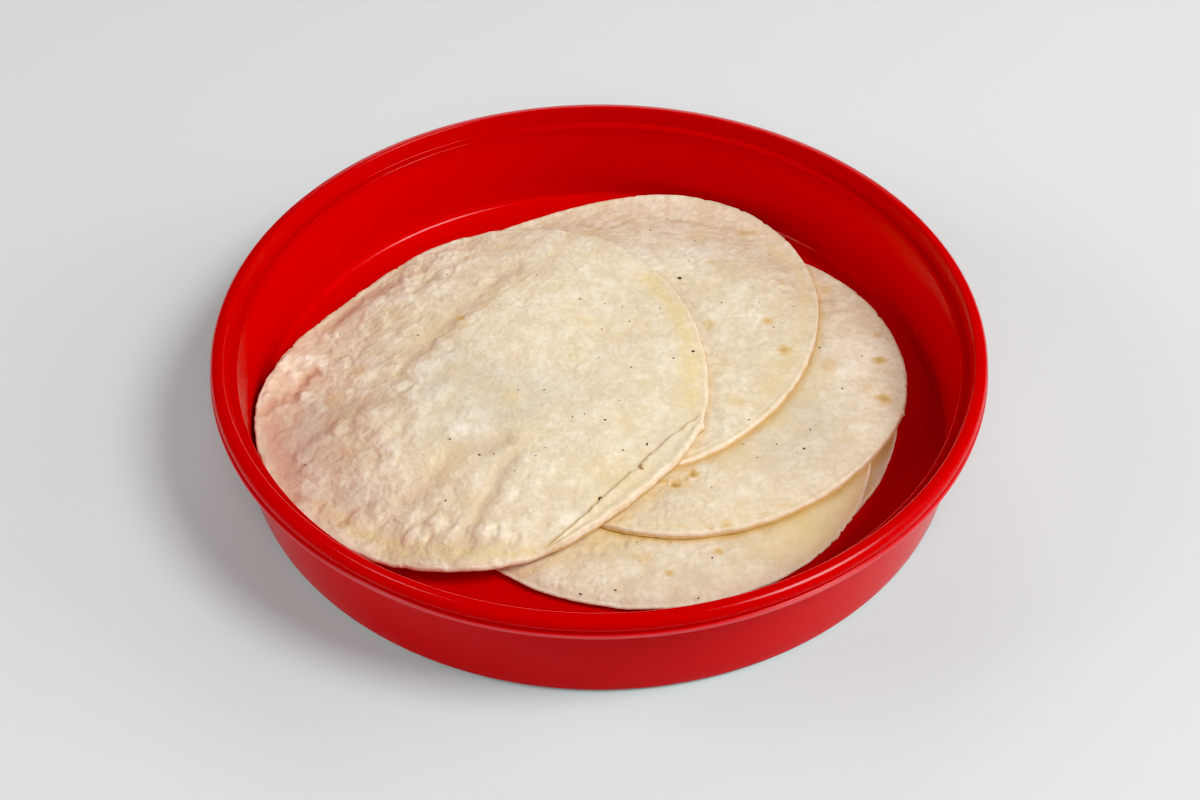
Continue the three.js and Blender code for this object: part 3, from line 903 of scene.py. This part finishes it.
# One ring of the folded flap, as inset from the edge and height above the underside, by its number on the
# way: the turn inside the fold, the flap's lower face, its half-round free edge and its upper face back to
# the ridge.
def flapRing(number, reach):
    low = pile["thickness"] + fold["gap"]
    turnRings = (
        (fold["rootInset"], pile["thickness"] + fold["rootRise"]),
        (fold["turnInset"], pile["thickness"] + 0.5 * fold["gap"]),
        (fold["rootInset"], low),
    )
    turnLast, lowerLast, edgeLast = len(turnRings), fold["lowerLast"], fold["edgeLast"]
    if number <= turnLast:
        inset, height = turnRings[number - 1]
        return np.full_like(reach, inset), np.full_like(reach, height)
    if number <= lowerLast:
        share = (number - turnLast) / (lowerLast - turnLast)
        return fold["rootInset"] + share * (reach - fold["rootInset"]), np.full_like(reach, low)
    if number <= edgeLast:
        swing = math.pi * ((number - lowerLast) / (edgeLast - lowerLast) - 0.5)
        out = fold["bulge"] * fold["thickness"] * math.cos(swing)
        height = low + 0.5 * fold["thickness"] * (1.0 + math.sin(swing))
        return reach + out, np.full_like(reach, height)
    share = (number - edgeLast) / (rim["shelfRings"] - edgeLast)
    crown = fold["crown"] * (share + math.cos(2.0 * math.pi * share) - 1.0)
    height = low + fold["thickness"] + crown
    return reach + share * (fold["ridgeInset"] - reach), np.full_like(reach, height)


# Faces of the bent grid, of the rings carried on from its border, and of the fan that closes the underside.
def breadFaces(count, border, rings):
    numbers = np.arange(count * count).reshape(count, count)
    gridFaces = np.stack([numbers[:-1, :-1], numbers[:-1, 1:], numbers[1:, 1:], numbers[1:, :-1]], axis=-1)
    around = len(border)
    ringNumbers = count * count + np.arange(rings * around).reshape(rings, around)
    ringNumbers = np.concatenate([border[None, :], ringNumbers])
    following = np.roll(ringNumbers, -1, axis=1)
    ringFaces = np.stack([ringNumbers[:-1], ringNumbers[1:], following[1:], following[:-1]], axis=-1)
    centre = count * count + rings * around
    fan = np.stack([np.full(around, centre), following[-1], ringNumbers[-1]], axis=-1)
    return [gridFaces.reshape(-1, 4), ringFaces.reshape(-1, 4), fan]


# A tortilla: a square grid bent to a disc is its top, and rings carried out, round and under close it.
def addTortilla(index):
    tortilla = tortillas[index]
    discX, discY = discGrid(tortilla["grid"])
    share = np.hypot(discX, discY).ravel()
    angle = np.arctan2(discY, discX).ravel()
    border = gridBorder(tortilla["grid"])
    points, fieldParts = [], []

    def addRing(x, y, z, fields):
        points.append(np.stack([x, y, z], axis=-1))
        fieldParts.append(fields)

    x, y, z, fields = topPoints(index, angle, share * (edgeRadius(tortilla, angle) - rim["band"]))
    addRing(x, y, z, fields)

    turn = angle[border]
    edge = edgeRadius(tortilla, turn)
    wander = edgeWander(index, turn)
    reach, folded = foldAt(index, turn)
    shelfRings = rim["shelfRings"]
    for number in range(1, shelfRings + 1):
        part = number / shelfRings
        flapInset, flapHeight = flapRing(number, reach)
        plainInset = rim["band"] + part * (rim["inset"] - rim["band"])
        inset = plainInset + folded * (flapInset - plainInset)
        flapPart = max(0.0, 1.0 - (shelfRings - number) / rim["wanderRings"])
        moved = (part + folded * (flapPart - part)) * wander
        x, y, z, fields = topPoints(index, turn, edge + moved - inset)
        z = z + folded * (undersideHeight(index, x, y) + flapHeight - z)
        fields = {key: field * (1.0 - folded) for key, field in fields.items()}
        if number > fold["lowerLast"]:
            fields["moist"] = fields["moist"] + fold["moist"] * folded
        # Painted shade on the turn and lower face of the folded flap.
        if number <= fold["lowerLast"] + 1:
            fields["contactShade"] = fields["contactShade"] + folded
        addRing(x, y, z, fields)
    topEdge = z
    roundInset = rim["inset"] + folded * (fold["ridgeInset"] - rim["inset"])
    # The upper half of the rounded edge and the underside are painted paler as painted light, the lower half
    # golden as painted shade.
    plain = {key: np.zeros_like(turn) for key in fields}
    plain["blisterAndRimLight"] = np.full_like(turn, rim["sideLight"])
    shaded = {key: np.zeros_like(turn) for key in fields}
    shaded["contactShade"] = np.full_like(turn, rim["sideShade"])
    for step in range(1, rim["roundRings"] + 1):
        swing = 0.5 * np.pi - np.pi * step / rim["roundRings"]
        setBack = roundInset if swing >= 0.0 else tortilla["undercut"]
        radius = edge + wander - setBack * (1.0 - math.cos(swing))
        x = tortilla["x"] + radius * np.cos(turn)
        y = tortilla["y"] + radius * np.sin(turn)
        under = undersideHeight(index, x, y) - rim["sink"]
        height = under + (topEdge - under) * (0.5 + 0.5 * math.sin(swing))
        addRing(x, y, height, plain if swing >= 0.0 else shaded)
    for step in range(1, rim["undersideRings"]):
        left = 1.0 - step / rim["undersideRings"]
        radius = (edge + wander - tortilla["undercut"]) * left
        x = tortilla["x"] + radius * np.cos(turn)
        y = tortilla["y"] + radius * np.sin(turn)
        addRing(x, y, undersideHeight(index, x, y) - rim["sink"] * left ** rim["sinkFade"], plain)
    centreX, centreY = np.array([tortilla["x"]]), np.array([tortilla["y"]])
    addRing(centreX, centreY, undersideHeight(index, centreX, centreY), {key: np.zeros(1) for key in fields})

    rings = shelfRings + rim["roundRings"] + rim["undersideRings"] - 1
    attributes = {key: np.concatenate([part[key] for part in fieldParts]) for key in fields}
    return makeMesh(tortilla["name"] + "_bread", np.concatenate(points),
                    breadFaces(tortilla["grid"], border, rings), attributes)


tortillaFinish = {
    "pale": (0.87, 0.80, 0.66, 1.0),
    "deep": (0.70, 0.585, 0.40, 1.0),
    "contactShadeGold": (0.62, 0.38, 0.10, 1.0),
    "bounceRosy": (0.56, 0.28, 0.19, 1.0),
    "yellow": (0.74, 0.58, 0.25, 1.0),
    "amber": (0.66, 0.42, 0.11, 1.0),
    "brown": (0.36, 0.17, 0.05, 1.0),
    "creaseShadeRuddy": (0.52, 0.28, 0.15, 1.0),
    "shadeGrey": (0.42, 0.36, 0.31, 1.0),
    "roughness": (0.46, 0.62),
    "specular": 0.18,
    "bump": 0.36, "pits": 0.5,   # mm, and how much the cells pit the grain
    "subsurface": 0.15, "subsurfaceScale": 0.0012, "subsurfaceRadius": (1.0, 0.8, 0.6),
    # (scale for each metre, detail) of each noise
    "noises": {"grain": (620.0, 1.5), "mottle": (170.0, 3.0), "drift": (55.0, 2.0), "blotch": (480.0, 4.0)},
    "cells": 560.0,
    # how much each pattern lifts the tone, where light spots and the rim's share of blister are painted
    # light, and the tones that are fully deep and fully pale
    "lifts": {"blisterAndRimLight": 0.2, "mottle": 0.7, "blotch": 0.8, "light": 0.2},
    "toneRange": (0.62, 1.22),
    # from two values of a pattern to two values of another: relief in mm to tone, so that hollows are
    # painted in shade, relief to how much the painted red bounce shows, drift to yellowing, and toasting,
    # with the painted shadow along the flap, to amber and to brown
    "lie": (-1.1, 0.9, -0.42, 0.30),
    "hollow": (0.4, -0.9, 0.25, 1.0),
    "yellowing": (0.52, 0.75, 0.0, 0.3),
    "ambering": (0.05, 0.7),
    "browning": (0.65, 1.1),
    "toastMottle": 0.3,
    # what is laid over the tone in turn: (pattern, how far it covers, colour)
    "layers": (
        ("shade", 0.65, "shadeGrey"), ("yellowing", 1.0, "yellow"), ("moist", 0.75, "yellow"),
        ("creaseShade", 0.9, "creaseShadeRuddy"), ("contactShade", 0.95, "contactShadeGold"), ("paintedRedBounce", 0.9, "bounceRosy"),
        ("ambering", 0.8, "amber"), ("browning", 0.8, "brown"),
    ),
}


# Matt corn dough. Its tone runs from deep to pale with the sum of relief, blisters and noise, so that
# hollows hold painted shade and spots and the rim's band hold painted light; painted shade, yellowing,
# painted shade in creases, painted contact shadow, painted red bounce light and toasted spots, with painted
# shadow along the flap, are laid over it in turn. Its bump is grain less pits.
def tortillaMaterial(finish):
    material, tree = newMaterial("corn_dough")
    coordinates = addNode(tree, "ShaderNodeTexCoord").outputs["Object"]
    patterns = {key: noiseNode(tree, coordinates, *values) for key, values in finish["noises"].items()}
    for key in ("height", "blisterAndRimLight", "light", "shade", "moist", "creaseShade", "contactShade", "paintedRedBounce", "toastAndShadow"):
        patterns[key] = fieldNode(tree, key)

    # Painted shade: the tone is deeper where the relief lies low.
    tone = rangeNode(tree, patterns["height"], *finish["lie"])
    for key, lift in finish["lifts"].items():
        tone = mathNode(tree, "ADD", tone, mathNode(tree, "MULTIPLY", patterns[key], lift))
    colour = layColour(tree, rangeNode(tree, tone, *finish["toneRange"]), finish["deep"], finish["pale"])

    # The painted red bounce shows most in the hollows.
    hollow = rangeNode(tree, patterns["height"], *finish["hollow"])
    patterns["paintedRedBounce"] = mathNode(tree, "MULTIPLY", patterns["paintedRedBounce"], hollow)
    patterns["yellowing"] = rangeNode(tree, patterns["drift"], *finish["yellowing"])
    uneven = mathNode(tree, "SUBTRACT", patterns["mottle"], 0.5)
    uneven = mathNode(tree, "MULTIPLY", uneven, finish["toastMottle"])
    toastAndShadow = mathNode(tree, "ADD", patterns["toastAndShadow"], uneven)
    for key in ("ambering", "browning"):
        patterns[key] = rangeNode(tree, toastAndShadow, *finish[key])
    for key, cover, over in finish["layers"]:
        colour = layColour(tree, mathNode(tree, "MULTIPLY", patterns[key], cover), colour, finish[over])

    cells = addNode(tree, "ShaderNodeTexVoronoi", {"Vector": coordinates, "Scale": finish["cells"]},
                    feature="SMOOTH_F1")
    pits = mathNode(tree, "MULTIPLY", cells.outputs["Distance"], finish["pits"])
    bump = addNode(tree, "ShaderNodeBump", {
        "Strength": 1.0, "Distance": finish["bump"] * metresPerMm,
        "Height": mathNode(tree, "SUBTRACT", patterns["grain"], pits)})
    roughness = rangeNode(tree, patterns["grain"], 0.3, 0.7, *finish["roughness"])
    shader = addNode(tree, "ShaderNodeBsdfPrincipled", {
        "Base Color": colour, "Roughness": roughness, "Specular IOR Level": finish["specular"],
        "Subsurface Weight": finish["subsurface"], "Subsurface Scale": finish["subsurfaceScale"],
        "Subsurface Radius": finish["subsurfaceRadius"], "Normal": bump.outputs["Normal"]})
    finishMaterial(tree, shader)
    return material


doughMaterial = tortillaMaterial(tortillaFinish)
for index, tortilla in enumerate(tortillas):
    bread = addTortilla(index)
    bread.data.materials.append(doughMaterial)
    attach(bread, "root")
    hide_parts(tortilla["name"])
    print("stage:", bread.name, len(bread.data.polygons), "faces")


speck = {
    "sides": 7,
    "colour": (0.07, 0.045, 0.025, 1.0),
    "roughness": 0.7, "specular": 0.2,
    "rise": 0.10,
    "sink": 0.12,
    "stretch": (0.7, 1.3),    # of its corners
    "squash": (0.5, 1.0),     # of its width
    "strays": 14,             # more on each round, at random places
    "straySize": (0.18, 0.40),
    "strayInset": 12.0,       # from the round's edge
    "strayClear": 1.0,        # from the rounds above it
    "seed": 5,
}


# Charred flecks of corn: each is a flat lens in the surface, a wavering ring closed by a point over it and
# one under it.
def addSpecks(values):
    generator = np.random.default_rng(values["seed"])
    sides, strays = values["sides"], values["strays"]
    corners = 2.0 * np.pi * np.arange(sides) / sides
    side = np.arange(sides)[None, :]
    following = (side + 1) % sides
    points, faces, made = [], [], 0
    for index in range(1, len(tortillas)):
        tortilla = tortillas[index]
        turn = generator.uniform(0.0, 2.0 * np.pi, strays)
        reach = edgeRadius(tortilla, turn) - values["strayInset"]
        radius = reach * np.sqrt(generator.uniform(0.0, 1.0, strays))
        strayX, strayY = tortilla["x"] + radius * np.cos(turn), tortilla["y"] + radius * np.sin(turn)
        placed = np.stack([strayX, strayY, generator.uniform(*values["straySize"], strays)], axis=-1)
        for above in tortillas[index + 1:]:
            placed = placed[beyondEdge(above, placed[:, 0], placed[:, 1]) > values["strayClear"]]
        x, y, size = np.concatenate([np.array(marks[index + 1]["flecks"], dtype=float), placed]).T
        dx, dy = x - tortilla["x"], y - tortilla["y"]
        _, _, height, _ = topPoints(index, np.arctan2(dy, dx), np.hypot(dx, dy))
        count = len(x)
        long = size[:, None] * generator.uniform(*values["stretch"], (count, sides))
        heading = generator.uniform(0.0, np.pi, count)[:, None]
        squash = generator.uniform(*values["squash"], count)[:, None]
        ringU, ringV = long * np.cos(corners), squash * long * np.sin(corners)
        ringX = x[:, None] + ringU * np.cos(heading) - ringV * np.sin(heading)
        ringY = y[:, None] + ringU * np.sin(heading) + ringV * np.cos(heading)
        ring = np.stack([ringX, ringY, np.repeat(height[:, None], sides, axis=1)], axis=-1)
        over = np.stack([x, y, height + values["rise"]], axis=-1)[:, None, :]
        under = np.stack([x, y, height - values["sink"]], axis=-1)[:, None, :]
        points.append(np.concatenate([ring, over, under], axis=1).reshape(-1, 3))
        first = made + (sides + 2) * np.arange(count)[:, None]
        overPoint = np.repeat(first + sides, sides, axis=1)
        top = np.stack([first + side, first + following, overPoint], axis=-1)
        low = np.stack([first + following, first + side, overPoint + 1], axis=-1)
        faces.extend([top.reshape(-1, 3), low.reshape(-1, 3)])
        made += (sides + 2) * count
    return makeMesh("corn_flecks", np.concatenate(points), faces)


# Matt near-black of charred corn.
def speckMaterial(values):
    material, tree = newMaterial("charred_corn")
    shader = addNode(tree, "ShaderNodeBsdfPrincipled", {
        "Base Color": values["colour"], "Roughness": values["roughness"],
        "Specular IOR Level": values["specular"]})
    finishMaterial(tree, shader)
    return material


specks = addSpecks(speck)
specks.data.materials.append(speckMaterial(speck))
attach(specks, "root")
print("stage: specks", len(specks.data.polygons), "faces")


studio = {
    "floorSize": 6000.0,
    "floorColour": (0.654, 0.654, 0.654, 1.0),
    "floorRoughness": 0.9, "floorSpecular": 0.1,
    "floorBounceCancel": (0.24, 0.122, 0.022),   # share of red taken out, from where, over what length, in m
    "blackLevel": 0.009,
    "skyColour": (1.0, 1.0, 1.0, 1.0),
    "skyStrength": 0.02,
    "lights": (
        # name, heading, elevation, distance, size, power, lights surfaces, shows in gloss
        ("key", -20.0, 52.0, 2500.0, 1000.0, 41.4, True, True),
        ("front", -90.0, 45.0, 2500.0, 1700.0, 25.6, True, False),
        ("right", 0.0, 18.0, 2500.0, 1700.0, 33.5, True, False),
        ("left", 180.0, 18.0, 2500.0, 1700.0, 32.0, True, False),
        ("back", 90.0, 18.0, 2500.0, 1700.0, 19.7, True, True),
        ("keyGlint", -20.0, 52.0, 2500.0, 900.0, 62.0, False, True),
        ("leftGlint", 173.0, 64.0, 2500.0, 500.0, 12.0, False, True),
    ),
}


# A pale floor with less red painted into it close to the basket, cancelling the red light that the basket
# bounces onto it there; a faint even sky; a soft key lamp, four wide fills round the basket, and two lamps
# that only glint in its gloss.
def addStudio(values):
    half = 0.5 * values["floorSize"]
    corners = [[-half, -half, 0.0], [half, -half, 0.0], [half, half, 0.0], [-half, half, 0.0]]
    floor = makeMesh("floor", corners, [np.array([[0, 1, 2, 3]])])
    material, tree = newMaterial("floor_paper")
    coordinates = addNode(tree, "ShaderNodeTexCoord").outputs["Object"]
    away = addNode(tree, "ShaderNodeVectorMath", {0: coordinates}, operation="LENGTH").outputs["Value"]
    share, start, length = values["floorBounceCancel"]
    fading = mathNode(tree, "EXPONENT", mathNode(
        tree, "MULTIPLY", mathNode(tree, "SUBTRACT", away, start), -1.0 / length))
    redness = mathNode(tree, "ADD", mathNode(tree, "MULTIPLY", fading, share), 1.0)
    red = mathNode(tree, "DIVIDE", values["floorColour"][0], redness)
    colour = addNode(tree, "ShaderNodeCombineColor", {
        "Red": red, "Green": values["floorColour"][1], "Blue": values["floorColour"][2]}).outputs[0]
    shader = addNode(tree, "ShaderNodeBsdfPrincipled", {
        "Base Color": colour, "Roughness": values["floorRoughness"],
        "Specular IOR Level": values["floorSpecular"]})
    finishMaterial(tree, shader)
    floor.data.materials.append(material)

    world = bpy.data.worlds.new("studio_sky")
    bpy.context.scene.world = world
    world.use_nodes = True
    background = world.node_tree.nodes["Background"]
    background.inputs["Color"].default_value = values["skyColour"]
    background.inputs["Strength"].default_value = values["skyStrength"]

    for name, heading, elevation, distance, size, power, diffuse, glossy in values["lights"]:
        data = bpy.data.lights.new(name, "AREA")
        data.shape = "DISK"
        data.size = size * metresPerMm
        data.energy = power
        lamp = bpy.data.objects.new(name, data)
        lamp.visible_diffuse, lamp.visible_glossy = diffuse, glossy
        turn, rise = math.radians(heading), math.radians(elevation)
        out = np.array([math.cos(turn) * math.cos(rise), math.sin(turn) * math.cos(rise), math.sin(rise)])
        side = np.array([-math.sin(turn), math.cos(turn), 0.0])
        matrix = np.eye(4)
        matrix[:3, 0], matrix[:3, 1], matrix[:3, 2] = side, np.cross(out, side), out
        matrix[:3, 3] = out * distance * metresPerMm
        lamp.matrix_world = Matrix(matrix.tolist())
        bpy.context.scene.collection.objects.link(lamp)


addStudio(studio)
bpy.context.scene.view_settings.view_transform = "Standard"
bpy.context.scene.view_settings.look = "None"
bpy.context.scene.view_settings.use_curve_mapping = True
bpy.context.scene.view_settings.curve_mapping.black_level = (studio["blackLevel"],) * 3
print("stage: floor and light")
